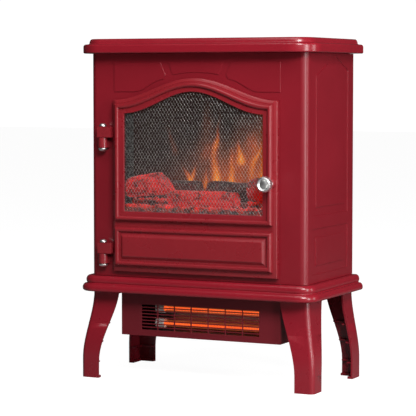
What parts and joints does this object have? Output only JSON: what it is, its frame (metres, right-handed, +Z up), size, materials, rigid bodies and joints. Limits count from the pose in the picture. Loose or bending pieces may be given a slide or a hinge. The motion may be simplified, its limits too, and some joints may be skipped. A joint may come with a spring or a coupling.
{
  "type": "electric fireplace",
  "caption": "Compact electric stove: red cabinet on curved legs, arched mesh door over a log and flame effect, quartz heater below.",
  "frame": {"origin": "on the floor, under the middle of the object's bounding box", "axes": "+Z up, +X to the right of someone facing the door, -Y towards them (the door is on the -Y side)"},
  "size_m": [0.43, 0.254, 0.5689],
  "materials": {
    "red_painted_steel": "satin gloss paint",
    "red_gloss_plastic": "satin gloss",
    "dark_red_steel": "satin gloss paint",
    "mesh_wire": "bare wire",
    "chrome": "polished",
    "zinc_steel": "zinc plated",
    "quartz_glass": "clear, glowing",
    "glowing_coil": "glowing orange",
    "ceramic": "matt ceramic",
    "bright_reflector": "mirror-bright",
    "log_resin": "moulded bark",
    "ember_resin": "moulded, lit from within",
    "flame_screen": "smoked",
    "motor_can": "plain",
    "circuit_board": "lacquered",
    "black_plastic": "fine grain",
    "black_steel": "matt black paint"
  },
  "bodies": {
    "cabinet": {"cabinet_shell": "red_painted_steel", "top_plate": "red_gloss_plastic", "base_moulding": "red_gloss_plastic", "base_pan": "black_steel", "leg_front_left": "red_gloss_plastic", "leg_front_right": "red_gloss_plastic", "leg_rear_left": "red_gloss_plastic", "leg_rear_right": "red_gloss_plastic", "hinge_knuckle_lower": "red_gloss_plastic", "hinge_pin_lower": "chrome", "hinge_knuckle_upper": "red_gloss_plastic", "hinge_pin_upper": "chrome", "catch_magnet": "black_plastic", "heater_housing": "dark_red_steel", "heater_face": "dark_red_steel", "reflector": "bright_reflector", "quartz_tube_lower": "quartz_glass", "heating_coil_lower": "glowing_coil", "tube_cap_lower_left": "ceramic", "tube_cap_lower_right": "ceramic", "quartz_tube_upper": "quartz_glass", "heating_coil_upper": "glowing_coil", "tube_cap_upper_left": "ceramic", "tube_cap_upper_right": "ceramic", "blower_housing": "black_plastic", "blower_motor": "motor_can", "firebox_liner": "black_steel", "ember_bed": "ember_resin", "log_left": "log_resin", "log_front": "log_resin", "log_rear_left": "log_resin", "log_rear_right": "log_resin", "log_right": "log_resin", "flame_screen": "flame_screen", "flame_motor": "motor_can", "led_board": "circuit_board", "control_plate": "black_plastic", "control_board": "circuit_board", "back_panel": "black_steel", "back_screw_left_lower": "zinc_steel", "back_screw_left_upper": "zinc_steel", "back_screw_right_lower": "zinc_steel", "back_screw_right_upper": "zinc_steel", "cord_gland": "black_plastic", "switch_bezel": "black_plastic"},
    "door": {"door_frame": "red_gloss_plastic", "door_mesh": "mesh_wire", "mesh_retainer": "black_steel", "door_knob": "chrome", "knob_screw": "zinc_steel", "catch_strike": "zinc_steel", "hinge_leaf_lower": "red_gloss_plastic", "hinge_leaf_upper": "red_gloss_plastic"},
    "flame_spindle": {"flame_rotor": "bright_reflector"},
    "blower_fan": {"blower_rotor": "black_plastic"},
    "power_button": {"button_power": "black_plastic"},
    "flame_button": {"button_flame": "black_plastic"},
    "heat_button": {"button_heat": "black_plastic"},
    "master_switch": {"switch_rocker": "black_plastic"}
  },
  "joints": [
    {"name": "door_swing", "type": "hinge", "parent": "cabinet", "child": "door", "pos_m": [-0.1667, -0.09475, 0.3], "axis": [0, 0, -1], "range_deg": [0, 110]},
    {"name": "flame_spin", "type": "hinge", "parent": "cabinet", "child": "flame_spindle", "pos_m": [0, 0.02825, 0.2958], "axis": [1, 0, 0], "continuous": true},
    {"name": "blower_spin", "type": "hinge", "parent": "cabinet", "child": "blower_fan", "pos_m": [0, 0.03325, 0.118], "axis": [1, 0, 0], "continuous": true},
    {"name": "power_press", "type": "slide", "parent": "cabinet", "child": "power_button", "axis": [0, 1, 0], "range_m": [0, 0.0015], "stiffness_N_per_m": 300, "springref_m": -0.001},
    {"name": "flame_press", "type": "slide", "parent": "cabinet", "child": "flame_button", "axis": [0, 1, 0], "range_m": [0, 0.0015], "stiffness_N_per_m": 300, "springref_m": -0.001},
    {"name": "heat_press", "type": "slide", "parent": "cabinet", "child": "heat_button", "axis": [0, 1, 0], "range_m": [0, 0.0015], "stiffness_N_per_m": 300, "springref_m": -0.001},
    {"name": "master_rock", "type": "hinge", "parent": "cabinet", "child": "master_switch", "pos_m": [0.14975, 0.11775, 0.2186], "axis": [-1, 0, 0], "range_deg": [0, 16]}
  ]
}
